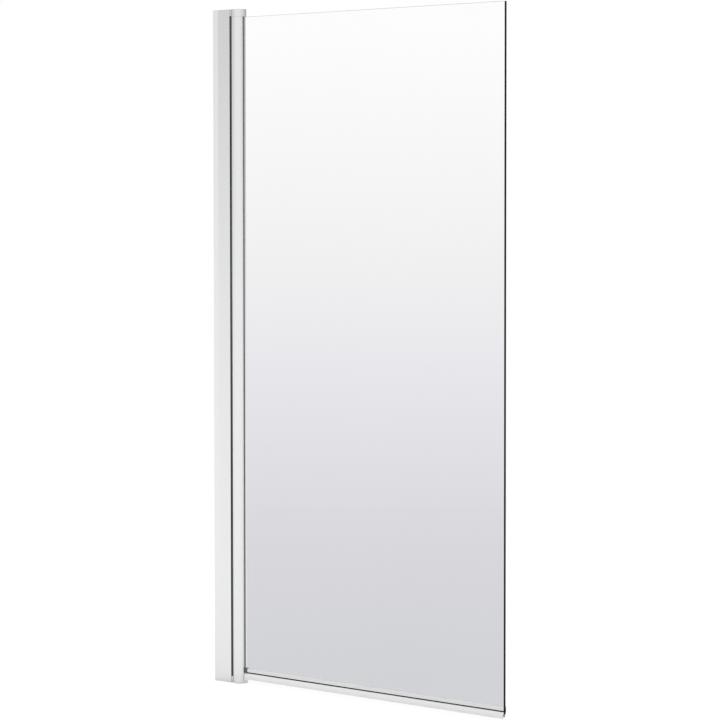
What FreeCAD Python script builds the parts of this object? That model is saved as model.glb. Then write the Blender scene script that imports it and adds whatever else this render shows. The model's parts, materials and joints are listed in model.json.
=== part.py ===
"""Pivoting bath screen: a clear glass leaf on a vertical hinge, carried by a wall channel.

The frame: X runs from the wall along the screen, Y across it and Z up. The origin is on the wall,
at the foot of the channel and in the glass's middle plane. The screen is drawn closed in line.
"""

import FreeCAD, Part

import math
import operator
import os
from types import SimpleNamespace

import Sketcher
from FreeCAD import Rotation, Vector

# Driving dimensions in millimetres. Each is written once, here.
SIZES = {
    # Whole screen
    "overall_height": 1400.0,  # wall channel from end to end
    "overall_width": 800.0,  # wall to the free edge of the glass
    # Wall channel
    "channel_depth": 45.5,
    "channel_width": 26.0,
    "channel_wall": 1.8,
    "channel_back": 2.0,
    "foot_width": 33.0,  # the channel flares to this at the wall
    "foot_length": 11.0,
    "fixing_hole": 5.2,
    "fixing_inset": 100.0,  # end of the channel to its first fixing hole
    # Width adjustment
    "slide_clearance": 0.3,
    "slide_travel": 20.0,
    "clamp_inset": 150.0,
    "clamp_setback": 22.0,  # wall to the clamp screws with the post pushed in
    "clamp_screw": 4.0,
    "clamp_clearance": 0.6,
    "clamp_length": 9.6,
    "clamp_head": 7.6,
    "clamp_head_depth": 2.4,
    "washer_width": 10.0,
    "washer_thickness": 1.0,
    "nut_width": 7.0,
    "nut_depth": 3.2,
    "cover_width": 12.4,
    "cover_depth": 4.3,
    "cover_wall": 0.9,
    "cover_stand_off": 0.1,
    # Pivot post
    "post_back": 14.0,  # wall to the back of the post when it is pushed in
    "post_wall": 1.6,
    "post_chamber": 10.0,  # between the cross web and the front face
    "port_radius": 3.2,
    "port_bore": 3.5,
    "port_one": 4.2,  # screw ports, from the back of the post
    "port_two": 15.0,
    # Hinge
    "hinge_reach": 15.3,  # front of the channel to the hinge axis
    "barrel_radius": 15.4,
    "barrel_wall": 1.8,
    "barrel_gap": 0.15,  # between the turning barrel and the fixed caps
    "cap_height": 15.4,
    "nose_height": 13.7,
    "cap_floor": 3.0,
    "cap_fillet": 0.7,
    "crease_width": 1.2,  # groove where the tail of a cap meets its round
    "crease_depth": 1.5,
    "spigot_height": 9.0,
    "spigot_length": 6.0,
    "spigot_clearance": 0.3,
    "pin_width": 6.0,
    "pin_length": 26.0,
    "pin_clearance": 0.05,
    "pin_chamfer": 0.8,
    "thrust_thickness": 1.0,
    "thrust_clearance": 0.3,  # between the thrust washer and the barrel's pocket
    "plug_length": 20.0,
    "plug_clearance": 0.1,
    "cap_screw": 3.4,
    "cap_screw_length": 27.0,
    "cap_screw_head": 7.6,
    "cap_screw_sink": 0.3,
    "cap_screw_clearance": 0.4,
    "recess_length": 4.4,
    "recess_width": 1.0,
    "recess_depth": 1.4,
    # Wiper seal between post and barrel
    "wiper_depth": 2.4,
    "wiper_gap": 0.3,
    "wiper_base": 1.2,
    "wiper_half": 10.8,
    "wiper_lip": 1.7,
    "wiper_neck": 2.8,
    "wiper_barb": 5.0,
    "wiper_barb_depth": 1.5,
    "groove_clearance": 0.2,
    # Glass and its seat in the barrel
    "glass_thickness": 5.0,
    "glass_floor": 23.7,  # foot of the channel to the lower edge of the glass
    "glass_drop": 16.4,  # top of the channel down to the upper edge of the glass
    "glass_seat": 8.3,  # hinge axis to the edge of the glass held in the barrel
    "glass_arris": 0.4,
    "pocket_floor": 7.0,
    "pocket_wall": 1.6,
    "gasket_leg": 0.9,  # in front of the glass
    "gasket_back": 0.3,  # behind the glass
    "gasket_back_sink": 0.5,  # end of the leg behind the glass inside the barrel's face
    "gasket_fit": 0.1,
    "gasket_lip": 0.7,
    "gasket_proud": 1.2,  # front lip past the barrel
    "gasket_sink": 1.8,  # gasket's body inside the barrel's face
    "packer_gap": 0.5,
    # Seal under the glass
    "seal_gap": 0.3,  # barrel to the seal
    "clip_gap": 0.2,  # end block to the seal's legs
    "clip_height": 9.0,
    "clip_leg": 0.9,
    "clip_web": 1.2,
    "seal_box_width": 5.2,
    "seal_box_depth": 5.8,
    "seal_box_wall": 1.0,
    "seal_stem": 1.2,
    "seal_stem_length": 3.0,
    "seal_bulb": 3.2,
    "drip_reach": 5.4,  # glass middle plane to the tip of the drip blade
    "drip_depth": 14.2,
    "drip_thickness": 0.9,
    "block_gap": 0.1,  # barrel to the end block
    "block_length": 8.1,
    "block_leg": 1.8,
    "block_height": 9.8,
}

CLAMP_COUNT = 3
FIXING_COUNT = 3
EDGE_MATCH = 0.01  # how near an edge lies to the place or radius it is found by
UPRIGHT = Rotation(Vector(1, 0, 0), 0)
UPSIDE_DOWN = Rotation(Vector(1, 0, 0), 180)
FACING_BACK = Rotation(Vector(1, 0, 0), -90)  # turns +Z to +Y


class Size:
    """A length that knows its value in millimetres and its formula in the sheet."""

    def __init__(self, value, text):
        self.value = value
        self.text = text

    def __neg__(self):
        return Size(-self.value, f"(-1 * {self.text})")


def as_size(number):
    """The number as a Size, unless it is one."""
    return number if isinstance(number, Size) else Size(float(number), f"{float(number)}")


def give_operator(name, sign, work):
    """Let sizes be combined with one another and with plain numbers, from either side."""

    def join(left, right):
        left, right = as_size(left), as_size(right)
        return Size(work(left.value, right.value), f"({left.text} {sign} {right.text})")

    setattr(Size, f"__{name}__", join)
    setattr(Size, f"__r{name}__", lambda right, left: join(left, right))


give_operator("add", "+", operator.add)
give_operator("sub", "-", operator.sub)
give_operator("mul", "*", operator.mul)
give_operator("truediv", "/", operator.truediv)


def root(size):
    """The square root of a size."""
    return Size(math.sqrt(size.value), f"sqrt({size.text})")


doc = FreeCAD.newDocument("bath_screen")
sheet = doc.addObject("Spreadsheet::Sheet", "Sizes")
for row, (alias, length) in enumerate(SIZES.items(), start=1):
    sheet.set(f"A{row}", alias)
    sheet.set(f"B{row}", str(length))
    sheet.setAlias(f"B{row}", alias)
doc.recompute()
s = SimpleNamespace(**{name: Size(length, f"Sizes.{name}") for name, length in SIZES.items()})

# Lengths that follow from the driving dimensions.
hinge_x = s.channel_depth + s.hinge_reach
channel_half = s.channel_width / 2
channel_bore_half = channel_half - s.channel_wall
foot_half = s.foot_width / 2
post_half = channel_bore_half - s.slide_clearance
post_front = hinge_x - s.barrel_radius - s.wiper_depth
post_length = s.overall_height - 2 * s.nose_height
barrel_foot = s.cap_height + s.barrel_gap
barrel_length = s.overall_height - 2 * barrel_foot
barrel_bore = s.barrel_radius - s.barrel_wall
glass_half = s.glass_thickness / 2
glass_height = s.overall_height - s.glass_floor - s.glass_drop
glass_reach = s.overall_width - hinge_x
gasket_front_face = -(glass_half + s.gasket_leg)
gasket_back_face = glass_half + s.gasket_back
pocket_front = gasket_front_face - s.gasket_fit
pocket_back = gasket_back_face + s.gasket_fit
pocket_outside = -pocket_front + s.pocket_wall
web_face = s.pocket_floor - s.pocket_wall
gasket_mouth = s.barrel_radius - s.gasket_sink
gasket_reach = s.barrel_radius + s.gasket_proud
seal_start = s.barrel_radius + s.seal_gap
block_start = s.barrel_radius + s.block_gap
block_end = block_start + s.block_length
clip_start = block_end + s.clip_gap
clamp_spacing = s.overall_height / 2 - s.clamp_inset
fixing_spacing = s.overall_height / 2 - s.fixing_inset


def bind(thing, name, size):
    """Tie a property of a feature to a size."""
    thing.setExpression(name, as_size(size).text)


def origin_feature(body, role):
    """A body's own origin plane or axis."""
    return next(item for item in body.Origin.OriginFeatures if item.Role == role)


def add_body(name, base=(0, 0, 0), turn=UPRIGHT):
    """An empty body with its label and its place in the screen."""
    body = doc.addObject("PartDesign::Body", name)
    body.Label = name
    body.Placement.Rotation = turn
    for axis, place in zip("xyz", base):
        bind(body, f"Placement.Base.{axis}", place)
    return body


def add_sketch(body, plane="XY_Plane", height=0):
    """An empty sketch on one of the body's origin planes, raised along the plane's normal."""
    sketch = body.newObject("Sketcher::SketchObject", f"{body.Name}_sketch")
    sketch.AttachmentSupport = [(origin_feature(body, plane), "")]
    sketch.MapMode = "FlatFace"
    bind(sketch, "AttachmentOffset.Base.z", height)
    return sketch


def pin_point(sketch, edge, point, x, y):
    """Fix a point of a sketch at two sizes from the sketch's origin."""
    for kind, place, axis in (("DistanceX", x, -2), ("DistanceY", y, -1)):
        if isinstance(place, Size):
            rule = Sketcher.Constraint(kind, -1, 1, edge, point, place.value)
            bind(sketch, f"Constraints[{sketch.addConstraint(rule)}]", place)
        elif place:
            sketch.addConstraint(Sketcher.Constraint(kind, -1, 1, edge, point, float(place)))
        else:
            sketch.addConstraint(Sketcher.Constraint("PointOnObject", edge, point, axis))


def outline(sketch, corners):
    """A closed outline of straight edges through its corners."""
    first = sketch.GeometryCount
    points = [Vector(as_size(x).value, as_size(y).value, 0) for x, y in corners]
    for start, end in zip(points, points[1:] + points[:1]):
        sketch.addGeometry(Part.LineSegment(start, end), False)
    for index, (x, y) in enumerate(corners):
        following = first + (index + 1) % len(corners)
        sketch.addConstraint(Sketcher.Constraint("Coincident", first + index, 2, following, 1))
        pin_point(sketch, first + index, 1, x, y)
    return sketch


def rectangle(sketch, low_x, high_x, low_y, high_y):
    """A rectangle between two pairs of sizes."""
    return outline(sketch, [(low_x, low_y), (high_x, low_y), (high_x, high_y), (low_x, high_y)])


def band(sketch, low_x, high_x, half):
    """A rectangle as far to one side of the glass's middle plane as to the other."""
    return rectangle(sketch, low_x, high_x, -half, half)


def circle(sketch, x, y, radius):
    """A circle about a point of the sketch."""
    centre = Vector(as_size(x).value, as_size(y).value, 0)
    edge = sketch.addGeometry(Part.Circle(centre, Vector(0, 0, 1), as_size(radius).value), False)
    pin_point(sketch, edge, 3, x, y)
    rule = sketch.addConstraint(Sketcher.Constraint("Radius", edge, as_size(radius).value))
    bind(sketch, f"Constraints[{rule}]", radius)
    return sketch


def rounded_slot(sketch, start_x, end_x, y, radius):
    """A slot along X with half-round ends about its two end points."""
    low, high, middle, size = (as_size(item).value for item in (start_x, end_x, y, radius))
    up, quarter = Vector(0, 0, 1), math.pi / 2
    ends = (
        Part.ArcOfCircle(Part.Circle(Vector(low, middle, 0), up, size), quarter, 3 * quarter),
        Part.ArcOfCircle(Part.Circle(Vector(high, middle, 0), up, size), -quarter, quarter),
    )
    near, far = (sketch.addGeometry(arc, False) for arc in ends)
    sides = [
        Part.LineSegment(Vector(low, middle - size, 0), Vector(high, middle - size, 0)),
        Part.LineSegment(Vector(high, middle + size, 0), Vector(low, middle + size, 0)),
    ]
    below, above = (sketch.addGeometry(side, False) for side in sides)
    for first, first_end, second, second_end in (
        (near, 2, below, 1),
        (below, 2, far, 1),
        (far, 2, above, 1),
        (above, 2, near, 1),
    ):
        rule = Sketcher.Constraint("Tangent", first, first_end, second, second_end)
        sketch.addConstraint(rule)
    sketch.addConstraint(Sketcher.Constraint("Equal", near, far))
    pin_point(sketch, near, 3, start_x, y)
    pin_point(sketch, far, 3, end_x, y)
    rule = sketch.addConstraint(Sketcher.Constraint("Radius", near, size))
    bind(sketch, f"Constraints[{rule}]", radius)
    return sketch


def pad(body, sketch, length):
    """Raise a sketch along its plane's normal."""
    feature = body.newObject("PartDesign::Pad", f"{body.Name}_pad")
    feature.Profile = sketch
    bind(feature, "Length", length)
    return feature


def cut(body, sketch, length=None, forward=True):
    """Cut a sketch out along its plane's normal, or against it: to a depth, or all the way."""
    feature = body.newObject("PartDesign::Pocket", f"{body.Name}_cut")
    feature.Profile = sketch
    feature.Reversed = forward
    if length is None:
        feature.Type = "ThroughAll"
    else:
        bind(feature, "Length", length)
    return feature


def revolve(body, corners):
    """Turn an outline of radius and height about the body's own upright axis."""
    sketch = outline(add_sketch(body, "XZ_Plane"), corners)
    feature = body.newObject("PartDesign::Revolution", f"{body.Name}_turned")
    feature.Profile = sketch
    feature.ReferenceAxis = (sketch, ["V_Axis"])
    feature.Angle = 360
    return feature


def repeat(body, features, axis, spacing, count, backward=False):
    """Copies of features at an even spacing along one of the body's axes."""
    row_of = body.newObject("PartDesign::LinearPattern", f"{body.Name}_row")
    row_of.Originals = features
    row_of.Direction = (origin_feature(body, axis), [""])
    row_of.Reversed = backward
    bind(row_of, "Length", (count - 1) * spacing)
    row_of.Occurrences = count
    body.Tip = row_of
    return row_of


def round_rim(body, radius, size):
    """Round the body's lower rim where it is an arc of a radius."""
    doc.recompute()
    base = body.Tip
    rim = []
    for number, edge in enumerate(base.Shape.Edges, start=1):
        low = edge.BoundBox.ZMax < EDGE_MATCH
        if low and isinstance(edge.Curve, Part.Circle):
            if abs(edge.Curve.Radius - radius.value) < EDGE_MATCH:
                rim.append(f"Edge{number}")
    fillet = body.newObject("PartDesign::Fillet", f"{body.Name}_round")
    fillet.Base = (base, rim)
    bind(fillet, "Radius", size)
    return fillet


def cross_recess(body, height, depth, forward):
    """A cross-shaped driver recess about the body's own axis."""
    arm, half = s.recess_length / 2, s.recess_width / 2
    corners = [(arm, -half), (arm, half), (half, half), (half, arm)]
    corners += [(-half, arm), (-half, half), (-arm, half), (-arm, -half)]
    corners += [(-half, -half), (-half, -arm), (half, -arm), (half, -half)]
    return cut(body, outline(add_sketch(body, height=height), corners), depth, forward)


def wall_channel():
    """Extruded channel that is screwed to the wall, flared where it meets it."""
    body = add_body("wall_channel")
    flare = (foot_half - channel_half) / s.foot_length
    inner_foot = channel_bore_half + flare * (s.foot_length - s.channel_back)
    side = [
        (0, foot_half),
        (s.foot_length, channel_half),
        (s.channel_depth, channel_half),
        (s.channel_depth, channel_bore_half),
        (s.foot_length, channel_bore_half),
        (s.channel_back, inner_foot),
    ]
    other_side = [(x, -y) for x, y in reversed(side)]
    pad(body, outline(add_sketch(body), side + other_side), s.overall_height)
    hole = circle(add_sketch(body, "YZ_Plane"), 0, s.fixing_inset, s.fixing_hole / 2)
    repeat(body, [cut(body, hole)], "Z_Axis", fixing_spacing, FIXING_COUNT)
    slot_radius = (s.clamp_screw + s.clamp_clearance) / 2
    end = s.clamp_setback + s.slide_travel
    slot = add_sketch(body, "XZ_Plane")
    rounded_slot(slot, s.clamp_setback, end, s.clamp_inset, slot_radius)
    repeat(body, [cut(body, slot, forward=False)], "Z_Axis", clamp_spacing, CLAMP_COUNT)


def pivot_post():
    """Box-section post that slides in the wall channel and carries the hinge caps."""
    body = add_body("pivot_post", (s.post_back, 0, s.nose_height))
    front = post_front - s.post_back
    web = front - s.post_wall - s.post_chamber
    inner = post_half - s.post_wall
    groove_half = s.wiper_neck / 2 + s.groove_clearance / 2
    pad(body, band(add_sketch(body), 0, front, post_half), post_length)
    cut(body, band(add_sketch(body), s.post_wall, web - s.post_wall, inner))
    cut(body, band(add_sketch(body), web, front - s.post_wall, inner))
    cut(body, band(add_sketch(body), front - 2 * s.post_wall, front + s.post_wall, groove_half))
    for port in (s.port_one, s.port_two):
        pad(body, circle(add_sketch(body), port, 0, s.port_radius), post_length)
        cut(body, circle(add_sketch(body), port, 0, s.port_bore / 2))
    hole = add_sketch(body, "XZ_Plane")
    across = s.clamp_setback - s.post_back
    circle(hole, across, s.clamp_inset - s.nose_height, s.clamp_screw / 2 + s.pin_clearance)
    repeat(body, [cut(body, hole, forward=False)], "Z_Axis", clamp_spacing, CLAMP_COUNT)


def hinge_cap(name, height, turn):
    """Cast end cap: its tail fills the end of the channel and its round covers the barrel."""
    body = add_body(name, (hinge_x, 0, height), turn)
    tail = hinge_x - s.post_back
    front = post_front - hinge_x
    spigot_end = front - s.post_wall - s.wiper_barb_depth - s.spigot_clearance
    spigot_start = spigot_end - s.spigot_length
    spigot_half = post_half - s.post_wall - s.spigot_clearance
    pad(body, band(add_sketch(body), -tail, 0, post_half), s.nose_height)
    pad(body, circle(add_sketch(body), 0, 0, s.barrel_radius), s.cap_height)
    spigot = band(add_sketch(body, height=s.nose_height), spigot_start, spigot_end, spigot_half)
    pad(body, spigot, s.spigot_height)
    socket = add_sketch(body, height=s.cap_floor)
    cut(body, circle(socket, 0, 0, s.pin_width / 2))
    round_rim(body, s.barrel_radius, s.cap_fillet)
    crease = -root(s.barrel_radius * s.barrel_radius - post_half * post_half)
    creases = add_sketch(body)
    for side in (1, -1):
        floor, mouth = side * (post_half - s.crease_depth), side * (post_half + s.crease_depth)
        rectangle(creases, crease - s.crease_width, crease, floor, mouth)
    cut(body, creases, s.nose_height)
    holes = add_sketch(body)
    for port in (s.port_one, s.port_two):
        circle(holes, port - tail, 0, (s.cap_screw + s.cap_screw_clearance) / 2)
    doc.recompute()
    hole = body.newObject("PartDesign::Hole", f"{name}_screw_holes")
    hole.Profile = holes
    hole.Threaded = False
    hole.DepthType = "ThroughAll"
    hole.Reversed = True
    hole.HoleCutType = "Countersink"
    hole.HoleCutCountersinkAngle = 90
    bind(hole, "Diameter", s.cap_screw + s.cap_screw_clearance)
    bind(hole, "HoleCutDiameter", s.cap_screw_head + 2 * s.cap_screw_sink)


def cap_screws(name, height, turn):
    """Two countersunk screws that hold a hinge cap to the ports of the post."""
    body = add_body(name, (s.post_back + s.port_one, 0, height), turn)
    head, shank = s.cap_screw_head / 2, s.cap_screw / 2
    neck = s.cap_screw_sink + head - shank
    tip = s.cap_screw_length - shank
    outer = [
        (0, s.cap_screw_sink),
        (head, s.cap_screw_sink),
        (shank, neck),
        (shank, tip),
        (0, s.cap_screw_length),
    ]
    screw = revolve(body, outer)
    recess = cross_recess(body, 0, s.cap_screw_sink + s.recess_depth, True)
    repeat(body, [screw, recess], "X_Axis", s.port_two - s.port_one, 2)


def pivot_pin(name, height, turn):
    """Steel pin pressed into a hinge cap."""
    body = add_body(name, (hinge_x, 0, height), turn)
    radius, end = s.pin_width / 2, s.cap_floor + s.pin_length
    outer = [
        (0, s.cap_floor),
        (radius, s.cap_floor),
        (radius, end - s.pin_chamfer),
        (radius - s.pin_chamfer, end),
        (0, end),
    ]
    revolve(body, outer)


def thrust_washer(name, height, turn):
    """Bearing washer round the pin, between the cap and the barrel's plug."""
    body = add_body(name, (hinge_x, 0, height), turn)
    ring = add_sketch(body, height=s.cap_height)
    circle(ring, 0, 0, web_face - s.thrust_clearance)
    circle(ring, 0, 0, s.pin_width / 2 + s.pin_clearance)
    pad(body, ring, s.thrust_thickness)


def barrel_plug(name, height, turn):
    """Moulded plug that fills the barrel's end round the glazing pocket and turns on the pin."""
    body = add_body(name, (hinge_x, 0, height), turn)
    base = s.cap_height + s.thrust_thickness
    radius = barrel_bore - s.plug_clearance
    pad(body, circle(add_sketch(body, height=base), 0, 0, radius), s.plug_length)
    cut(body, circle(add_sketch(body), 0, 0, s.pin_width / 2 + s.pin_clearance))
    clear = web_face - s.plug_clearance
    cut(body, band(add_sketch(body), clear, s.barrel_radius, pocket_outside + s.plug_clearance))


def wiper_seal():
    """Black lipped seal pressed into the post, closing the gap behind the barrel."""
    body = add_body("wiper_seal", (hinge_x, 0, s.nose_height))
    front = post_front - hinge_x
    touch = s.barrel_radius + s.wiper_gap
    tip = -root(touch * touch - s.wiper_half * s.wiper_half)
    back = touch + s.wiper_lip
    tip_back = -root(back * back - s.wiper_half * s.wiper_half)
    base = front + s.wiper_base
    root_half = root(back * back - base * base)
    pad(body, band(add_sketch(body), front, tip, s.wiper_half), post_length)
    cut(body, circle(add_sketch(body), 0, 0, touch))
    outside = 2 * s.wiper_half
    for side in (1, -1):
        hollow = [
            (base, side * root_half),
            (tip_back, side * s.wiper_half),
            (tip_back, side * outside),
            (base, side * outside),
        ]
        cut(body, outline(add_sketch(body), hollow))
    behind = front - s.post_wall
    barb_end = behind - s.wiper_barb_depth
    pad(body, band(add_sketch(body), behind, front + s.wiper_base / 2, s.wiper_neck / 2), post_length)
    pad(body, band(add_sketch(body), barb_end, behind, s.wiper_barb / 2), post_length)


def clamp_fasteners():
    """Washers, screws, nuts and covers that lock the post at the width it is set to."""
    place = (s.clamp_setback, channel_half, s.clamp_inset)
    hole = s.clamp_screw / 2 + s.pin_clearance
    head_face = s.washer_thickness + s.clamp_head_depth
    up_the_post = ("Y_Axis", clamp_spacing, CLAMP_COUNT, True)

    body = add_body("clamp_washers", place, FACING_BACK)
    face = s.washer_width / 2
    ring = [(hole, 0), (face, 0), (face, s.washer_thickness), (hole, s.washer_thickness)]
    repeat(body, [revolve(body, ring)], *up_the_post)

    body = add_body("clamp_screws", place, FACING_BACK)
    shank, head = s.clamp_screw / 2, s.clamp_head / 2
    screw = [
        (0, s.washer_thickness - s.clamp_length),
        (shank, s.washer_thickness - s.clamp_length),
        (shank, s.washer_thickness),
        (head, s.washer_thickness),
        (head, head_face - s.clamp_head_depth / 3),
        (head - s.clamp_head_depth / 3, head_face),
        (0, head_face),
    ]
    turned = revolve(body, screw)
    recess = cross_recess(body, head_face, s.recess_depth, False)
    repeat(body, [turned, recess], *up_the_post)

    inner_face = -s.channel_wall - s.slide_clearance - s.post_wall
    body = add_body("clamp_nuts", place, FACING_BACK)
    nut = add_sketch(body, height=inner_face - s.nut_depth)
    rectangle(nut, -s.nut_width / 2, s.nut_width / 2, -s.nut_width / 2, s.nut_width / 2)
    circle(nut, 0, 0, hole)
    repeat(body, [pad(body, nut, s.nut_depth)], *up_the_post)

    body = add_body("screw_covers", place, FACING_BACK)
    outer = s.cover_width / 2
    inner = outer - s.cover_wall
    crown = s.cover_depth - s.cover_wall
    cup = [
        (inner, s.cover_stand_off),
        (outer, s.cover_stand_off),
        (outer, crown),
        (outer - s.cover_wall, s.cover_depth),
        (0, s.cover_depth),
        (0, crown),
        (inner, crown),
    ]
    repeat(body, [revolve(body, cup)], *up_the_post)


def hinge_barrel():
    """Round extrusion that turns with the glass, with a pocket for its edge."""
    body = add_body("hinge_barrel", (hinge_x, 0, barrel_foot))
    wall_end = root(barrel_bore * barrel_bore - pocket_outside * pocket_outside)
    pad(body, circle(add_sketch(body), 0, 0, s.barrel_radius), barrel_length)
    cut(body, circle(add_sketch(body), 0, 0, barrel_bore))
    walls = (web_face, wall_end + s.barrel_wall / 2, -pocket_outside, pocket_back + s.pocket_wall)
    pad(body, rectangle(add_sketch(body), *walls), barrel_length)
    pocket = (s.pocket_floor, s.barrel_radius + s.barrel_wall, pocket_front, pocket_back)
    cut(body, rectangle(add_sketch(body), *pocket))


def glazing_gasket():
    """Dark gasket round the held edge of the glass: a thick front leg with a lip, a thin back leg."""
    body = add_body("glazing_gasket", (hinge_x, 0, s.glass_floor))
    base = s.pocket_floor + s.gasket_fit
    back_end = s.barrel_radius - s.gasket_back_sink
    section = [
        (base, gasket_front_face),
        (gasket_mouth, gasket_front_face),
        (gasket_mouth, -glass_half),
        (s.glass_seat, -glass_half),
        (s.glass_seat, glass_half),
        (back_end, glass_half),
        (back_end, gasket_back_face),
        (base, gasket_back_face),
    ]
    pad(body, outline(add_sketch(body), section), glass_height)
    lip_foot = s.clip_height + s.clip_leg
    lip = (s.glass_seat, gasket_reach, -(glass_half + s.gasket_lip), -glass_half)
    pad(body, rectangle(add_sketch(body, height=lip_foot), *lip), glass_height - lip_foot)


def glass_packer():
    """Setting block in the barrel's pocket, under the glass."""
    start = s.cap_height + s.packer_gap
    body = add_body("glass_packer", (hinge_x, 0, start))
    block = (s.pocket_floor + s.gasket_fit, gasket_mouth, gasket_front_face, gasket_back_face)
    pad(body, rectangle(add_sketch(body), *block), s.glass_floor - start)


def glass_panel():
    """Flat toughened pane with its edges ground to a fine arris."""
    body = add_body("glass_panel", (hinge_x, 0, s.glass_floor))
    pad(body, band(add_sketch(body), s.glass_seat, glass_reach, glass_half), glass_height)
    doc.recompute()
    base = body.Tip
    chamfer = body.newObject("PartDesign::Chamfer", "glass_panel_arris")
    chamfer.Base = (base, [f"Edge{n}" for n in range(1, len(base.Shape.Edges) + 1)])
    bind(chamfer, "Size", s.glass_arris)


def bottom_seal():
    """Clear co-extruded seal clipped under the glass: legs, hollow box, bulb and drip blade."""
    body = add_body("bottom_seal", (hinge_x, 0, s.glass_floor))
    length = glass_reach - seal_start
    clip_length = glass_reach - clip_start
    box_half = s.seal_box_width / 2
    web_gap = s.clip_web + s.gasket_fit
    leg_half = glass_half + s.clip_leg
    box_foot = -s.seal_box_depth

    def lengthwise(start):
        return add_sketch(body, "YZ_Plane", start)

    pad(body, rectangle(lengthwise(seal_start), -box_half, box_half, box_foot, -web_gap), length)
    clip = lengthwise(clip_start)
    pad(body, rectangle(clip, -leg_half, leg_half, -web_gap, s.clip_height), clip_length)
    grip = rectangle(lengthwise(clip_start), -glass_half, glass_half, 0, 2 * s.clip_height)
    cut(body, grip)
    hollow_half = box_half - s.seal_box_wall
    hollow = rectangle(
        lengthwise(seal_start),
        -hollow_half,
        hollow_half,
        box_foot + s.seal_box_wall,
        -web_gap - s.seal_box_wall,
    )
    cut(body, hollow)
    stem_half = s.seal_stem / 2
    stem_foot = box_foot - s.seal_stem_length
    overlap = s.seal_box_wall / 2
    stem = lengthwise(seal_start)
    pad(body, rectangle(stem, -stem_half, stem_half, stem_foot, box_foot + overlap), length)
    bulb = s.seal_bulb / 2
    pad(body, circle(lengthwise(seal_start), 0, stem_foot - bulb / 2, bulb), length)
    blade = [
        (-box_half + overlap, -web_gap),
        (-box_half, -web_gap),
        (-s.drip_reach, -s.drip_depth),
        (-s.drip_reach + s.drip_thickness, -s.drip_depth),
        (-box_half + overlap, box_foot + overlap),
    ]
    pad(body, outline(lengthwise(seal_start), blade), length)


def seal_end_block():
    """Black block clipped round the glass's lower corner, between barrel and seal."""
    body = add_body("seal_end_block", (hinge_x, 0, s.glass_floor))
    half = glass_half + s.block_leg
    start = add_sketch(body, height=-s.clip_web)
    pad(body, band(start, block_start, block_end, half), s.clip_web + s.block_height)
    cut(body, band(add_sketch(body), 0, 2 * block_end, glass_half))


def build_all():
    """Every piece of the screen."""
    wall_channel()
    pivot_post()
    wiper_seal()
    for end, height, turn in (
        ("bottom", 0, UPRIGHT),
        ("top", s.overall_height, UPSIDE_DOWN),
    ):
        hinge_cap(f"{end}_hinge_cap", height, turn)
        cap_screws(f"{end}_cap_screws", height, turn)
        pivot_pin(f"{end}_pivot_pin", height, turn)
        thrust_washer(f"{end}_thrust_washer", height, turn)
        barrel_plug(f"{end}_barrel_plug", height, turn)
    clamp_fasteners()
    hinge_barrel()
    glazing_gasket()
    glass_packer()
    glass_panel()
    bottom_seal()
    seal_end_block()


build_all()
doc.recompute()
for item in doc.Objects:
    if {"Invalid", "Error"} & set(item.State):
        raise RuntimeError(f"{item.Name} is {item.State}")
bodies = doc.findObjects("PartDesign::Body")
for body in bodies:
    if body.Shape.isNull() or not body.Shape.isValid():
        raise RuntimeError(f"{body.Label} has no valid shape")
os.makedirs("parts", exist_ok=True)
for body in bodies:
    body.Shape.exportStep(f"parts/{body.Label}.step")
    box = body.Shape.BoundBox
    print(
        f"{body.Label:22} solids {len(body.Shape.Solids)} volume {body.Shape.Volume:12.1f}"
        f"  x {box.XMin:7.2f} {box.XMax:7.2f}  y {box.YMin:7.2f} {box.YMax:7.2f}"
        f"  z {box.ZMin:8.2f} {box.ZMax:8.2f}"
    )
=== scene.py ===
"""Dressed pivoting bath screen: refined meshes, finishes and a plain white studio.

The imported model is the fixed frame. X runs from the wall along the screen, Y across it and Z up,
in metres. The hinge's axis stands at HINGE_X.
"""

import json
import logging
import math
from collections.abc import Callable, Iterable, Mapping, Sequence
from dataclasses import dataclass, field
from enum import Enum

import bmesh
import bpy
from mathutils import Matrix, Vector


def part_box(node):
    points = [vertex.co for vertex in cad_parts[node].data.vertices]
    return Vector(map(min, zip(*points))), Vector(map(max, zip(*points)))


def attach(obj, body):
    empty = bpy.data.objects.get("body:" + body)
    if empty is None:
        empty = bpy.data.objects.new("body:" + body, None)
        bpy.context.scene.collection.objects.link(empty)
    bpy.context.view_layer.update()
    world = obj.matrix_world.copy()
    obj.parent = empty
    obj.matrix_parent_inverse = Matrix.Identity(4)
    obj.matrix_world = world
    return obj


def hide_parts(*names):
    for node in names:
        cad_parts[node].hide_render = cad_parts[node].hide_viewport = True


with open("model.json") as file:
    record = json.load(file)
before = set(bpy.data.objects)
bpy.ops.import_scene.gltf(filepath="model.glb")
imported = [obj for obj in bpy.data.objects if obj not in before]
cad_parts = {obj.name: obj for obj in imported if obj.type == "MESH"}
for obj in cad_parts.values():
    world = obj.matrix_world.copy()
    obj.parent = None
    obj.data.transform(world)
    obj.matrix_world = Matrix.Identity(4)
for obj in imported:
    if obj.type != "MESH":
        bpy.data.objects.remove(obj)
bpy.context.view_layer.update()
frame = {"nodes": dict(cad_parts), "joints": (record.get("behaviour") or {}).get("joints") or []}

LOG = logging.getLogger("bath_screen")
MM = 0.001
FULL_TURN = 2 * math.pi
HINGE_X = next(j for j in frame["joints"] if j["name"] == "screen_pivot")["pos_m"][0]

TOUCH = 0.01 * MM  # points nearer to a plane than this lie in it
WELD = 0.001 * MM  # points nearer than this are one point
ONE_FACE = math.radians(0.4)  # faces that meet at less than this are one face
SQUARE = 0.99  # least share of a normal along an axis for a face square to it
LONG_EDGE = 0.5  # least length, in metres, of an edge that runs up the screen
SHARP = 40.0  # least angle, in degrees, of a sharp edge on a round piece
EVEN_WEIGHT = 100  # above 50, large faces count for more in the shading at an edge
WHITE = (1.0, 1.0, 1.0)

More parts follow.
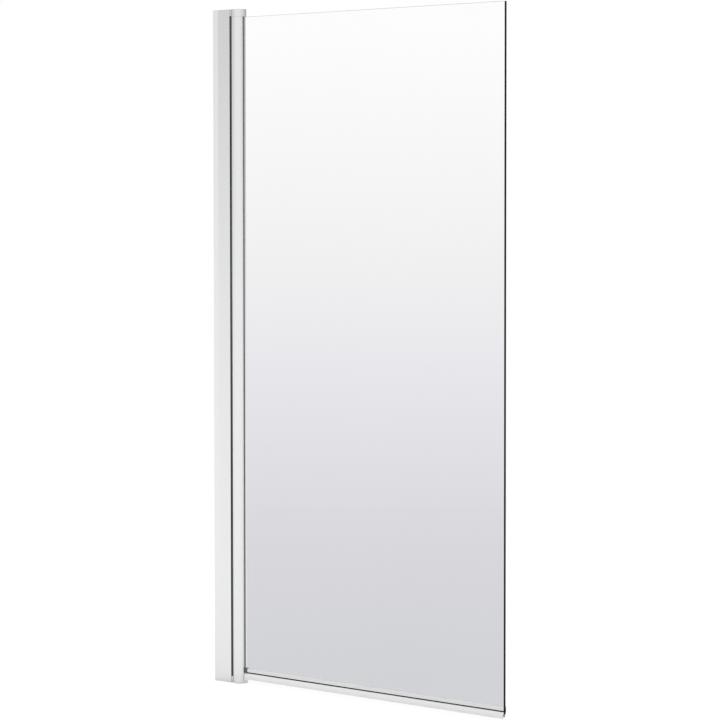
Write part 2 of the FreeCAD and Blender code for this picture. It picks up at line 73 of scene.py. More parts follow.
Point = tuple[float, float]
Triple = tuple[float, float, float]
Colour = tuple[float, float, float]
Ramp = tuple[tuple[float, float], ...]


class Body(Enum):
    """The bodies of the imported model."""

    WALL_SIDE = "wall_side"
    POST = "post"
    LEAF = "leaf"


class Slot(Enum):
    """The record's material slots."""

    POLISHED = "polished_aluminium"
    SATIN = "satin_aluminium"
    CHROME = "chromed_casting"
    STEEL = "steel"
    BLACK_RUBBER = "black_rubber"
    GREY_RUBBER = "grey_rubber"
    NYLON = "nylon"
    GLASS = "clear_glass"
    SEAL = "clear_seal"


class Along(Enum):
    """The direction in which an outline is drawn out, with where its two coordinates go."""

    X = "x"
    Y = "y"
    Z = "z"

    def place(self, across: float, up: float, depth: float) -> Vector:
        """The point of the frame for a point of the outline at a depth.

        Args:
            across: First coordinate of the outline: Y when drawn along X, otherwise X.
            up: Second coordinate: Y when drawn along Z, otherwise Z.
            depth: How far along the direction.

        Returns:
            The point in metres.
        """
        if self is Along.X:
            return Vector((depth, across, up))
        if self is Along.Y:
            return Vector((across, depth, up))
        return Vector((across, up, depth))


# ---------------------------------------------------------------- shader building


class Signal:
    """The output of a shader node; arithmetic on it adds Math nodes."""

    def __init__(self, net: "NodeNet", socket: bpy.types.NodeSocket) -> None:
        """Keep the net and the socket."""
        self.net = net
        self.socket = socket

    def output(self, name: str | int) -> "Signal":
        """Another output of the same node."""
        return Signal(self.net, self.socket.node.outputs[name])

    def maths(self, operation: str, *values: "Signal | float") -> "Signal":
        """The result of a Math node on this value and others."""
        inputs = dict(enumerate((self, *values)))
        return self.net.node("ShaderNodeMath", {"operation": operation}, inputs)

    def __add__(self, other: "Signal | float") -> "Signal":
        """This plus the other."""
        return self.maths("ADD", other)

    __radd__ = __add__

    def __sub__(self, other: "Signal | float") -> "Signal":
        """This less the other."""
        return self.maths("SUBTRACT", other)

    def __rsub__(self, other: float) -> "Signal":
        """The other less this."""
        return (self * -1.0).maths("ADD", other)

    def __mul__(self, other: "Signal | float") -> "Signal":
        """This times the other."""
        return self.maths("MULTIPLY", other)

    __rmul__ = __mul__

    def __truediv__(self, other: "Signal | float") -> "Signal":
        """This over the other."""
        return self.maths("DIVIDE", other)

    def __abs__(self) -> "Signal":
        """This without its sign."""
        return self.maths("ABSOLUTE")

    def smooth(self, low: float, high: float) -> "Signal":
        """A soft step from 0 at the low value to 1 at the high one."""
        return self.net.node(
            "ShaderNodeMapRange",
            {"interpolation_type": "SMOOTHSTEP"},
            {"Value": self, "From Min": low, "From Max": high},
        )


class NodeNet:
    """The node tree of a material or world."""

    def __init__(self, tree: bpy.types.NodeTree) -> None:
        """Start from an empty tree."""
        self.tree = tree
        tree.nodes.clear()

    def node(
        self,
        kind: str,
        settings: Mapping[str, object] | None = None,
        inputs: Mapping[str | int, object] | None = None,
    ) -> Signal:
        """Add a node, set it and feed it.

        Args:
            kind: The node's type.
            settings: Its own properties; "stops" are the places and colours of a ramp.
            inputs: Values or signals by socket name or number.

        Returns:
            The node's first output.
        """
        made = self.tree.nodes.new(kind)
        for name, value in (settings or {}).items():
            if name == "stops":
                self._set_stops(made.color_ramp, value)
            else:
                setattr(made, name, value)
        for name, value in (inputs or {}).items():
            socket = made.inputs[name]
            if isinstance(value, Signal):
                self.tree.links.new(value.socket, socket)
            elif socket.type == "RGBA" and len(value) == 3:
                socket.default_value = (*value, 1.0)
            else:
                socket.default_value = value
        return Signal(self, made.outputs[0] if made.outputs else None)

    @staticmethod
    def _set_stops(ramp: bpy.types.ColorRamp, stops: Sequence[tuple[float, Colour]]) -> None:
        """Give a ramp its stops.

        Args:
            ramp: The ramp.
            stops: Each stop's place, from 0 to 1, and its colour.
        """
        while len(ramp.elements) < len(stops):
            ramp.elements.new(1.0)
        for element, (place, colour) in zip(ramp.elements, stops):
            element.position = place
            element.color = (*colour, 1.0)

    def mix_colour(self, share: Signal | float, first: object, second: object) -> Signal:
        """The first colour blended towards the second by a share."""
        made = self.node("ShaderNodeMix", {"data_type": "RGBA"}, {0: share, 6: first, 7: second})
        return made.output(2)

    def vector(self, operation: str, *values: object, scale: float | None = None) -> Signal:
        """The result of a Vector Math node.

        Args:
            operation: What it does.
            values: The vectors that it works on.
            scale: The factor, for SCALE only.

        Returns:
            The vector.
        """
        inputs = dict(enumerate(values))
        if scale is not None:
            inputs["Scale"] = scale
        return self.node("ShaderNodeVectorMath", {"operation": operation}, inputs)

    def dot(self, first: Signal, second: Triple) -> Signal:
        """The dot product of a vector and a fixed direction, as a value."""
        return self.vector("DOT_PRODUCT", first, second).output("Value")

    def place(self) -> Signal:
        """Where a point is on its piece, in metres."""
        return self.node("ShaderNodeTexCoord").output("Object")

    def noise(self, stretch: Triple, detail: float = 2.0, roughness: float = 0.5) -> Signal:
        """Noise over the piece, from 0 to 1.

        Args:
            stretch: How many cycles it makes per metre along each axis.
            detail: Octaves of finer noise.
            roughness: How strong the finer octaves are.

        Returns:
            The noise.
        """
        return self.node(
            "ShaderNodeTexNoise",
            {"noise_dimensions": "3D"},
            {
                "Vector": self.vector("MULTIPLY", self.place(), stretch),
                "Scale": 1.0,
                "Detail": detail,
                "Roughness": roughness,
            },
        )

    def bump(self, height: Signal, distance: float) -> Signal:
        """A normal from a height map, whose full range is a distance in metres."""
        inputs = {"Height": height, "Distance": distance, "Strength": 1.0}
        return self.node("ShaderNodeBump", {}, inputs)

    def surface(self, shader: Signal) -> None:
        """Make a shader the material's surface."""
        end = self.tree.nodes.new("ShaderNodeOutputMaterial")
        self.tree.links.new(shader.socket, end.inputs["Surface"])


class Finish:
    """What a surface is made of. A finish makes its material once and keeps it."""

    title: str
    _made: dict[str, bpy.types.Material] = {}  # shared by all finishes

    def shader(self, net: NodeNet) -> Signal:
        """The finish's shader."""
        raise NotImplementedError

    def material(self) -> bpy.types.Material:
        """The Blender material of this finish.

        Returns:
            The material, which is made on the first call.
        """
        if self.title not in self._made:
            made = bpy.data.materials.new(self.title)
            made.use_nodes = True
            net = NodeNet(made.node_tree)
            net.surface(self.shader(net))
            self._made[self.title] = made
        return self._made[self.title]


@dataclass(frozen=True)
class Extrusion(Finish):
    """Drawn metal profile with faint die lines along its length."""

    title: str
    colour: Colour
    roughness: float
    die_line: float = 0.9 * MM
    run: float = 160 * MM
    tone: float = 0.035
    relief: float = 0.004 * MM
    patch_rate: Triple = (14.0, 14.0, 5.0)
    line_gloss: float = 0.09
    patch_gloss: float = 0.05

    def shader(self, net: NodeNet) -> Signal:
        """Metal whose gloss and height change from one die line to the next.

        Args:
            net: The material's nodes.

        Returns:
            The shader.
        """
        rate = 1 / self.die_line
        lines = net.noise((rate, rate, 1 / self.run), detail=3.0, roughness=0.6)
        patches = net.noise(self.patch_rate)
        darker = tuple(part * (1 - self.tone) for part in self.colour)
        gloss = self.roughness + (lines - 0.5) * self.line_gloss + (patches - 0.5) * self.patch_gloss
        return net.node(
            "ShaderNodeBsdfPrincipled",
            {},
            {
                "Base Color": net.mix_colour(lines, self.colour, darker),
                "Metallic": 1.0,
                "Roughness": gloss,
                "Normal": net.bump(lines, self.relief),
            },
        )


@dataclass(frozen=True)
class Plating(Finish):
    """Chrome on a casting: bright, with the faint swell of the metal under it."""

    title: str
    colour: Colour
    roughness: float
    swell: float = 7 * MM
    relief: float = 0.012 * MM
    haze_rate: float = 900.0
    haze_tone: float = 0.96
    haze_gloss: float = 0.06

    def shader(self, net: NodeNet) -> Signal:
        """Bright metal with slow swells and fine polishing haze.

        Args:
            net: The material's nodes.

        Returns:
            The shader.
        """
        rate = 1 / self.swell
        swell = net.noise((rate, rate, rate), detail=1.0)
        haze = net.noise((self.haze_rate,) * 3, detail=3.0, roughness=0.6)
        dull = tuple(part * self.haze_tone for part in self.colour)
        return net.node(
            "ShaderNodeBsdfPrincipled",
            {},
            {
                "Base Color": net.mix_colour(haze, self.colour, dull),
                "Metallic": 1.0,
                "Roughness": self.roughness + (haze - 0.5) * self.haze_gloss,
                "Normal": net.bump(swell, self.relief),
            },
        )


@dataclass(frozen=True)
class Moulding(Finish):
    """Opaque rubber or plastic with a fine moulded grain."""

    title: str
    colour: Colour
    roughness: float
    grain: float = 0.35 * MM
    relief: float = 0.02 * MM
    variation: float = 0.25
    shine: float = 0.5
    cloud_rate: Triple = (60.0, 60.0, 25.0)
    grain_gloss: float = 0.16

    def shader(self, net: NodeNet) -> Signal:
        """Grainy surface with a little cloud in its colour.

        Args:
            net: The material's nodes.

        Returns:
            The shader.
        """
        rate = 1 / self.grain
        grain = net.noise((rate, rate, rate))
        cloud = net.noise(self.cloud_rate)
        paler = tuple(part * (1 + self.variation) for part in self.colour)
        return net.node(
            "ShaderNodeBsdfPrincipled",
            {},
            {
                "Base Color": net.mix_colour(cloud, self.colour, paler),
                "Roughness": self.roughness + (grain - 0.5) * self.grain_gloss,
                "Specular IOR Level": self.shine,
                "Normal": net.bump(grain, self.relief),
            },
        )


@dataclass(frozen=True)
class ClearPane(Finish):
    """Clear flat glass that lets lamps through."""

    title: str
    colour: Colour
    index: float = 1.5
    tint_rate: Triple = (3.0, 3.0, 2.0)
    tint_tone: float = 0.985

    def shader(self, net: NodeNet) -> Signal:
        """Smooth glass, with a plain see-through stand-in for shadow rays.

        Args:
            net: The material's nodes.

        Returns:
            The shader.
        """
        tint = net.noise(self.tint_rate, detail=1.0)
        deeper = tuple(part * self.tint_tone for part in self.colour)
        glass = net.node(
            "ShaderNodeBsdfPrincipled",
            {},
            {
                "Base Color": net.mix_colour(tint, self.colour, deeper),
                "Roughness": 0.0,
                "IOR": self.index,
                "Transmission Weight": 1.0,
            },
        )
        clear = net.node("ShaderNodeBsdfTransparent", {}, {"Color": self.colour})
        path = net.node("ShaderNodeLightPath")
        shadow = path.output("Is Shadow Ray")
        return net.node("ShaderNodeMixShader", {}, {0: shadow, 1: glass, 2: clear})


@dataclass(frozen=True)
class ClearPlastic(Finish):
    """Soft clear plastic, slightly milky, with draw lines along its length."""

    title: str
    colour: Colour
    body: float
    roughness: float = 0.22
    draw_line: float = 0.5 * MM
    run: float = 90 * MM
    relief: float = 0.015 * MM
    milk_tone: float = 1.06
    line_gloss: float = 0.1
    line_cover: float = 0.12

    def shader(self, net: NodeNet) -> Signal:
        """Glossy plastic whose cover changes a little along the draw lines.

        Args:
            net: The material's nodes.

        Returns:
            The shader.
        """
        rate = 1 / self.draw_line
        lines = net.noise((1 / self.run, rate, rate))
        milk = tuple(min(1.0, part * self.milk_tone) for part in self.colour)
        return net.node(
            "ShaderNodeBsdfPrincipled",
            {},
            {
                "Base Color": net.mix_colour(lines, self.colour, milk),
                "Roughness": self.roughness + (lines - 0.5) * self.line_gloss,
                "Alpha": self.body + (lines - 0.5) * self.line_cover,
                "Normal": net.bump(lines, self.relief),
            },
        )


FINISHES: dict[Slot, Finish] = {
    Slot.POLISHED: Extrusion("polished_aluminium_drawn", (0.88, 0.883, 0.888), 0.2),
    Slot.SATIN: Extrusion("mill_aluminium", (0.72, 0.725, 0.73), 0.42),
    Slot.CHROME: Plating("chromed_casting_bright", (0.87, 0.875, 0.88), 0.16),
    Slot.STEEL: Plating("stainless_steel_plain", (0.62, 0.62, 0.63), 0.3, relief=0.006 * MM),
    Slot.BLACK_RUBBER: Moulding("black_rubber_matte", (0.105, 0.105, 0.107), 0.62),
    Slot.GREY_RUBBER: Moulding("grey_rubber_matte", (0.21, 0.21, 0.213), 0.6),
    Slot.NYLON: Moulding("natural_nylon", (0.8, 0.79, 0.76), 0.42, variation=0.03),
    Slot.GLASS: ClearPane("clear_glass_toughened", (0.96, 0.96, 0.96)),
    Slot.SEAL: ClearPlastic("clear_seal_plastic", (0.98, 0.98, 0.98), 0.92),
}
# Painted shade: near-black on the glass's edges and a thin border beside them, standing in for the
# dark look that refraction and reflection give glass edges.
PANE_EDGE_SHADE = Moulding(
    "ground_glass_edge", (0.008, 0.008, 0.008), 0.5, relief=0.01 * MM, shine=0.1
)
# Painted shade: a dark band round the seal's web at the foot of the glass, standing in for the shade
# in the gap under the glass.
WEB_BAND_SHADE = Moulding("dark_seal_web", (0.008, 0.008, 0.009), 0.5, shine=0.1)
# Painted shade: the seal's cut ends and the mouth of its box, dark as the shade inside them.
SEAL_END_SHADE = Moulding("cut_seal_end", (0.008, 0.008, 0.009), 0.5, shine=0.1)


# ---------------------------------------------------------------- mesh building


def arc(centre: Point, radius: float, start: float, end: float, count: int) -> list[Point]:
    """Points along an arc, both ends among them.

    Args:
        centre: The arc's centre.
        radius: Its radius.
        start: Angle of its first point, in radians.
        end: Angle of its last point.
        count: Number of steps.

    Returns:
        The points in order.
    """
    angles = (start + (end - start) * step / count for step in range(count + 1))
    return [(centre[0] + radius * math.cos(a), centre[1] + radius * math.sin(a)) for a in angles]


STRAIGHT = math.pi / 2 - 0.01  # half the angle of a corner too flat to round
RUN_SHARE = 0.45  # most of a side that one of its roundings takes


def rounded(corners: Sequence[Point], radius: float, steps: int = 4) -> list[Point]:
    """An outline with its corners rounded.

    Args:
        corners: The sharp corners.
        radius: The radius of the corners.
        steps: Steps round each corner.

    Returns:
        The outline's points.
    """
    points: list[Point] = []
    for index, corner in enumerate(corners):
        here = Vector(corner)
        back = Vector(corners[index - 1]) - here
        ahead = Vector(corners[(index + 1) % len(corners)]) - here
        half = back.angle(ahead) / 2
        if half > STRAIGHT:
            points.append(tuple(here))
            continue
        run = min(radius / math.tan(half), RUN_SHARE * back.length, RUN_SHARE * ahead.length)
        size = run * math.tan(half)
        inward = (back.normalized() + ahead.normalized()).normalized()
        centre = here + inward * (size / math.sin(half))
        first = here + back.normalized() * run - centre
        turn = first.angle_signed(here + ahead.normalized() * run - centre)
        start = math.atan2(first.y, first.x)
        points += arc(tuple(centre), size, start, start - turn, steps)
    return points


@dataclass
class Piece:
    """A mesh on its way to being a piece of the screen."""

    name: str
    body: Body
    slot: Slot
    replaces: tuple[str, ...] = ()
    extra: tuple[Finish, ...] = ()
    crisp: float = math.radians(32)  # edges sharper than this aren't shaded smooth
    mesh: bmesh.types.BMesh = field(default_factory=bmesh.new)

    def prism(
        self,
        loops: Sequence[Sequence[Point]],
        along: Along,
        start: float,
        end: float,
        open_end: bool = False,
    ) -> "Piece":
        """Add a solid drawn out from an outline.

        Args:
            loops: The outer outline, and the outlines of its hollows.
            along: The direction in which it is drawn out.
            start: Where it starts along the direction.
            end: Where it ends.
            open_end: Leave the end open, where more of the piece follows.

        Returns:
            The piece.
        """
        rims = {start: [], end: []}
        for loop in loops:
            rings = []
            for depth in (start, end):
                ring = [self.mesh.verts.new(along.place(a, b, depth)) for a, b in loop]
                edges = [self.mesh.edges.new((a, b)) for a, b in zip(ring, ring[1:] + ring[:1])]
                rims[depth] += edges
                rings.append(ring)
            low, high = rings
            for index in range(len(loop)):
                after = (index + 1) % len(loop)
                self.mesh.faces.new((low[index], low[after], high[after], high[index]))
        for depth, edges in rims.items():
            if depth == end and open_end:
                continue
            bmesh.ops.triangle_fill(self.mesh, use_beauty=True, use_dissolve=True, edges=edges)
        bmesh.ops.recalc_face_normals(self.mesh, faces=self.mesh.faces)
        return self

    def from_node(self, node: str) -> "Piece":
        """Start from a node's own mesh, its triangles joined to flat faces.

        Args:
            node: The node's name.

        Returns:
            The piece.
        """
        self.mesh.from_mesh(frame["nodes"][node].data)
        bmesh.ops.remove_doubles(self.mesh, verts=self.mesh.verts, dist=WELD)
        bmesh.ops.dissolve_limit(
            self.mesh,
            angle_limit=ONE_FACE,
            verts=self.mesh.verts,
            edges=self.mesh.edges,
        )
        return self

    def split(self, point: Vector, normal: Vector) -> "Piece":
        """Divide the faces that a plane crosses.

        Args:
            point: A point of the plane.
            normal: The direction square to it.

        Returns:
            The piece.
        """
        parts = [*self.mesh.verts, *self.mesh.edges, *self.mesh.faces]
        bmesh.ops.bisect_plane(self.mesh, geom=parts, plane_co=point, plane_no=normal)
        return self

    def soften(
        self,
        width: float,
        chosen: Callable[[bmesh.types.BMEdge], bool] | None = None,
        limit: float = 30.0,
        steps: int = 2,
    ) -> "Piece":
        """Round the sharp edges.

        Args:
            width: How far the rounding reaches from the edge.
            chosen: Which edges, or None for all sharp ones.
            limit: The least angle of a sharp edge, in degrees.
            steps: Steps round an edge.

        Returns:
            The piece.
        """
        least = math.radians(limit)
        edges = [
            edge
            for edge in self.mesh.edges
            if len(edge.link_faces) == 2
            and edge.calc_face_angle() > least
            and (chosen is None or chosen(edge))
        ]
        bmesh.ops.bevel(
            self.mesh,
            geom=edges,
            offset=width,
            offset_type="OFFSET",
            segments=steps,
            profile=0.5,
            affect="EDGES",
            clamp_overlap=True,
        )
        return self

    def finish(self, pick: Callable[[bmesh.types.BMFace], int] | None = None) -> bpy.types.Object:
        """Make the object: give it finishes, seat it on its body and report it.

        Args:
            pick: Gives a face the number of its finish, 0 being the slot's own.

        Returns:
            The object.
        """
        for face in self.mesh.faces:
            face.smooth = True
            if pick:
                face.material_index = pick(face)
        for edge in self.mesh.edges:
            edge.smooth = len(edge.link_faces) != 2 or edge.calc_face_angle() < self.crisp
        data = bpy.data.meshes.new(self.name)
        self.mesh.to_mesh(data)
        self.mesh.free()
        made = bpy.data.objects.new(self.name, data)
        bpy.context.scene.collection.objects.link(made)
        for finish in (FINISHES[self.slot], *self.extra):
            data.materials.append(finish.material())
        even = made.modifiers.new("even_shading", "WEIGHTED_NORMAL")
        even.weight = EVEN_WEIGHT
        even.keep_sharp = True
        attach(made, self.body.value)
        if self.replaces:
            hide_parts(*self.replaces)
        LOG.info("%s: %d faces on %s", self.name, len(data.polygons), self.body.value)
        return made


def dress(nodes: Iterable[str], slot: Slot) -> None:
    """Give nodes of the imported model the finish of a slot.

    Args:
        nodes: The nodes' names.
        slot: The slot.
    """
    for name in nodes:
        node = frame["nodes"][name]
        for place in node.material_slots:
            place.link = "OBJECT"
            place.material = FINISHES[slot].material()
        LOG.info("%s: dressed as %s", name, slot.value)


# ---------------------------------------------------------------- the screen's sub-assemblies


@dataclass
class WallSide:
    """The channel that is screwed to the wall."""

    lip_round: float = 0.5 * MM
    edge_round: float = 0.25 * MM
    edge_limit: float = 8.0

    def build(self) -> None:
        """Refine the channel."""
        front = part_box("wall_channel")[1].x
        channel = Piece("wall_channel_profile", Body.WALL_SIDE, Slot.POLISHED, ("wall_channel",))
        channel.from_node("wall_channel")

        def at_front(edge: bmesh.types.BMEdge) -> bool:
            """Whether an upright edge runs along the front of the channel."""
            in_front = all(front - vert.co.x < TOUCH for vert in edge.verts)
            return in_front and edge.calc_length() > LONG_EDGE

        channel.soften(self.lip_round, at_front, steps=4)
        channel.soften(self.edge_round, limit=self.edge_limit)
        channel.finish()


@dataclass
class PivotPost:
    """The post that slides in the channel, with its caps, pins, seal and fasteners."""

    cap_round: float = 0.2 * MM
    cover_round: float = 0.3 * MM
    lip_round: float = 0.25 * MM

    def build(self) -> None:
        """Refine what shows and dress what is inside."""
        for end, corner in (("bottom", 0), ("top", 1)):
            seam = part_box(f"{end}_thrust_washer")[corner].z
            cap = Piece(f"{end}_end_cap", Body.POST, Slot.CHROME, (f"{end}_hinge_cap",))

            def off_seam(edge: bmesh.types.BMEdge) -> bool:
                """Whether an edge lies away from the seam with the barrel."""
                return any(abs(vert.co.z - seam) > TOUCH for vert in edge.verts)

            cap.from_node(f"{end}_hinge_cap").soften(self.cap_round, off_seam, limit=SHARP).finish()
        covers = Piece("clamp_screw_covers", Body.POST, Slot.CHROME, ("screw_covers",))
        covers.from_node("screw_covers").soften(self.cover_round, limit=SHARP).finish()
        wiper = Piece("wiper_lips", Body.POST, Slot.BLACK_RUBBER, ("wiper_seal",))
        wiper.from_node("wiper_seal").soften(self.lip_round).finish()
        dress(["pivot_post"], Slot.SATIN)
        dress(["top_pivot_pin", "bottom_pivot_pin", "top_cap_screws", "bottom_cap_screws"], Slot.STEEL)
        dress(["clamp_screws", "clamp_nuts", "clamp_washers"], Slot.STEEL)
        dress(["top_thrust_washer", "bottom_thrust_washer"], Slot.NYLON)


@dataclass
class Leaf:
    """The turning side: barrel, gasket, glass and its end block."""

    barrel_wall: float = 1.8 * MM
    pocket_front: float = 3.5 * MM  # middle plane of the glass to each side of its pocket
    pocket_back: float = 2.9 * MM
    pocket_floor: float = 7.0 * MM  # hinge's axis to the bottom of the pocket
    pocket_wall: float = 1.6 * MM
    cut_round: float = 0.1 * MM
    circle_steps: int = 128
    gasket_round: float = 0.35 * MM
    block_round: float = 0.5 * MM
    pane_corner: float = 0.8 * MM
    arris: float = 0.4 * MM
    shade_foot: float = 0.9 * MM  # how far the painted dark borders, which stand in for shade, reach over the pane's faces
    shade_side: float = 0.9 * MM
    polished_slope: float = 0.6  # a face whose normal points up by more belongs to the top

    def build(self) -> None:
        """Build each piece of the leaf."""
        self.build_barrel()
        self.build_pane()
        gasket = Piece("glass_gasket", Body.LEAF, Slot.GREY_RUBBER, ("glazing_gasket",))
        gasket.from_node("glazing_gasket").soften(self.gasket_round).finish()
        block = Piece("corner_block", Body.LEAF, Slot.BLACK_RUBBER, ("seal_end_block",))
        block.from_node("seal_end_block").soften(self.block_round, steps=3).finish()
        dress(["top_barrel_plug", "bottom_barrel_plug"], Slot.NYLON)
        dress(["glass_packer"], Slot.BLACK_RUBBER)

    def build_barrel(self) -> None:
        """The round profile, hollow round the pocket that holds the glass."""
        low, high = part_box("hinge_barrel")
        radius = high.y
        bore = radius - self.barrel_wall
        loops = []
        for size, more in ((radius, 0.0), (bore, self.pocket_wall)):
            front, back = self.pocket_front + more, self.pocket_back + more
            floor = HINGE_X + self.pocket_floor - more
            first, last = math.asin(back / size), FULL_TURN - math.asin(front / size)
            ring = arc((HINGE_X, 0.0), size, first, last, self.circle_steps)
            loops.append([*ring, (floor, -front), (floor, back)])
        barrel = Piece("hinge_barrel_profile", Body.LEAF, Slot.POLISHED, ("hinge_barrel",))

        def upright(edge: bmesh.types.BMEdge) -> bool:
            """Whether an edge runs up the barrel."""
            return edge.calc_length() > LONG_EDGE

        barrel.prism(loops, Along.Z, low.z, high.z)
        barrel.soften(self.cut_round, upright, limit=SHARP).finish()

    def build_pane(self) -> None:
        """The glass: clear faces and top; its other edges and the borders beside them are painted dark
        as shade.
        """
        low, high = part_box("glass_panel")
        corners = [(low.x, low.z), (high.x, low.z), (high.x, high.z), (low.x, high.z)]
        pane = Piece("glass_pane", Body.LEAF, Slot.GLASS, ("glass_panel",), (PANE_EDGE_SHADE,))
        pane.prism([rounded(corners, self.pane_corner)], Along.Y, low.y, high.y)

        def on_face(edge: bmesh.types.BMEdge) -> bool:
            """Whether an edge borders one of the two large faces."""
            return any(abs(face.normal.y) > SQUARE for face in edge.link_faces)

        def painted_edge_shade(face: bmesh.types.BMFace) -> int:
            """Find the finish of a face of the pane.

            Args:
                face: The face.

            Returns:
                1 for the other edges and the borders beside them, painted dark as shade; 0 for the
                clear faces and polished top.
            """
            centre = face.calc_center_median()
            if abs(face.normal.y) > SQUARE:
                at_foot = centre.z < low.z + self.shade_foot
                return int(at_foot or centre.x > high.x - self.shade_side)
            return int(face.normal.z < self.polished_slope)

        pane.soften(self.arris, on_face, steps=1)
        pane.split(Vector((0, 0, low.z + self.shade_foot)), Vector((0, 0, 1)))
        pane.split(Vector((high.x - self.shade_side, 0, 0)), Vector((1, 0, 0)))
        pane.finish(painted_edge_shade)


@dataclass
class DripSeal:
    """Clear seal under the glass: gripping legs, box, bulb and drip blade, with painted shade on its
    web and cut ends.
    """

    leg_half: float = 3.4 * MM
    leg_height: float = 9.0 * MM
    grip: float = 2.5 * MM  # middle plane to the inside of a leg
    web: float = 1.3 * MM
    shade_half: float = 1.2 * MM  # how far the painted shade round the web shows above and below the foot of the glass
    box_half: float = 2.6 * MM
    box_foot: float = 5.8 * MM  # heights under the glass are measured down from its foot
    box_wall: float = 1.0 * MM
    stem_half: float = 0.6 * MM
    bulb_centre: float = 9.6 * MM
    bulb: float = 1.6 * MM
    bulb_wall: float = 0.55 * MM
    bulb_steps: int = 18
    tube_steps: int = 20
    blade_tip: float = 5.4 * MM
    blade_drop: float = 14.2 * MM
    blade: float = 0.9 * MM
    blade_bow: float = 0.7 * MM
    blade_taper: float = 0.3  # share of its thickness that the blade loses by its tip
    blade_steps: int = 8
    corner: float = 0.3 * MM
    lead_in: float = 0.2 * MM  # bevel inside the top of a leg
    lead_height: float = 0.5 * MM
    block_gap: float = 0.2 * MM
    shade_mouth: float = 4.0 * MM  # how far the painted shade of the cut end reaches into the box

    def build(self) -> None:
        """Draw the seal out along the foot of the glass."""
        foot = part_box("glass_panel")[0].z
        start, end = (corner.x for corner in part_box("bottom_seal"))
        legs_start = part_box("seal_end_block")[1].x + self.block_gap
        dark = (WEB_BAND_SHADE, SEAL_END_SHADE)
        seal = Piece("glass_drip_seal", Body.LEAF, Slot.SEAL, ("bottom_seal",), dark)
        hollow = self.box_half - self.box_wall
        box = [
            (-hollow, -self.web - self.box_wall),
            (hollow, -self.web - self.box_wall),
            (hollow, self.box_wall - self.box_foot),
            (-hollow, self.box_wall - self.box_foot),
        ]
        bore = self.bulb - self.bulb_wall
        tube = arc((0.0, -self.bulb_centre), bore, 0, FULL_TURN, self.tube_steps)[:-1]
        hollows = [rounded(box, self.corner), tube]

        def lifted(loops: Sequence[Sequence[Point]]) -> list[list[Point]]:
            """Outlines raised from the foot of the glass to their height in the frame."""
            return [[(y, z + foot) for y, z in loop] for loop in loops]

        under, whole = self.outline(with_legs=False), self.outline(with_legs=True)
        seal.prism(lifted([under, *hollows]), Along.X, start, legs_start, open_end=True)
        seal.prism(lifted([whole, *hollows]), Along.X, legs_start, end)
        seal.split(Vector((end - self.shade_mouth, 0, 0)), Vector((1, 0, 0)))

        def finish_of(face: bmesh.types.BMFace) -> int:
            """Find the finish of a face of the seal.

            Args:
                face: The face.

            Returns:
                1 for the band round the web, painted dark as the shade under the glass; 2 for the cut
                ends and the box's mouth, painted dark as the shade inside; 0 for the clear plastic.
            """
            centre = face.calc_center_median()
            in_shaded_mouth = centre.x > end - self.shade_mouth and self.in_box(centre.y, foot - centre.z)
            if abs(face.normal.x) > SQUARE or in_shaded_mouth:
                return 2
            return int(abs(centre.z - foot) < self.shade_half and centre.x > legs_start)

        seal.finish(finish_of)

    def in_box(self, across: float, depth: float) -> bool:
        """Whether a point is in the box's hollow or on its walls.

        Args:
            across: How far it lies from the middle plane.
            depth: How far it lies below the foot of the glass.

        Returns:
            True where it is.
        """
        half_wall = self.box_wall / 2
        beside = abs(across) < self.box_half - half_wall
        return beside and self.web + half_wall < depth < self.box_foot - half_wall

    def outline(self, with_legs: bool) -> list[Point]:
        """The seal's outer outline across its length, from the foot of the glass.

        Args:
            with_legs: Whether the legs that grip the glass are there.

        Returns:
            Points of Y and Z.
        """
        neck = math.sqrt(self.bulb**2 - self.stem_half**2)
        turn = math.atan2(neck, self.stem_half)
        centre = (0.0, -self.bulb_centre)
        round_bulb = arc(centre, self.bulb, math.pi - turn, FULL_TURN + turn, self.bulb_steps)
        root = (-self.box_half, -self.web)
        tip = (-self.blade_tip, -self.blade_drop)
        outer, inner = [], []
        for step in range(self.blade_steps + 1):
            share = step / self.blade_steps
            bow = self.blade_bow * math.sin(math.pi * share)
            y = root[0] + (tip[0] - root[0]) * share - bow
            z = root[1] + (tip[1] - root[1]) * share
            outer.append((y, z))
            inner.append((y + self.blade * (1 - self.blade_taper * share), z))
        inner = [point for point in inner if point[1] < -self.box_foot]
        under = [
            *outer,
            *reversed(inner),
            (-self.box_half + self.blade, -self.box_foot),
            (-self.stem_half, -self.box_foot),
            *round_bulb,
            (self.stem_half, -self.box_foot),
            (self.box_half, -self.box_foot),
            (self.box_half, -self.web),
        ]
        if not with_legs:
            return under
        right = [
            (self.leg_half, -self.web),
            (self.leg_half, -self.shade_half),
            (self.leg_half, self.shade_half),
            (self.leg_half, self.leg_height - self.corner),
            (self.leg_half - self.corner, self.leg_height),
            (self.grip + self.lead_in, self.leg_height),
            (self.grip, self.leg_height - self.lead_height),
            (self.grip, self.shade_half),
            (self.grip, 0.0),
        ]
        left = [(-y, z) for y, z in reversed(right)]
        return [*under, *right, *left]


# ---------------------------------------------------------------- the studio


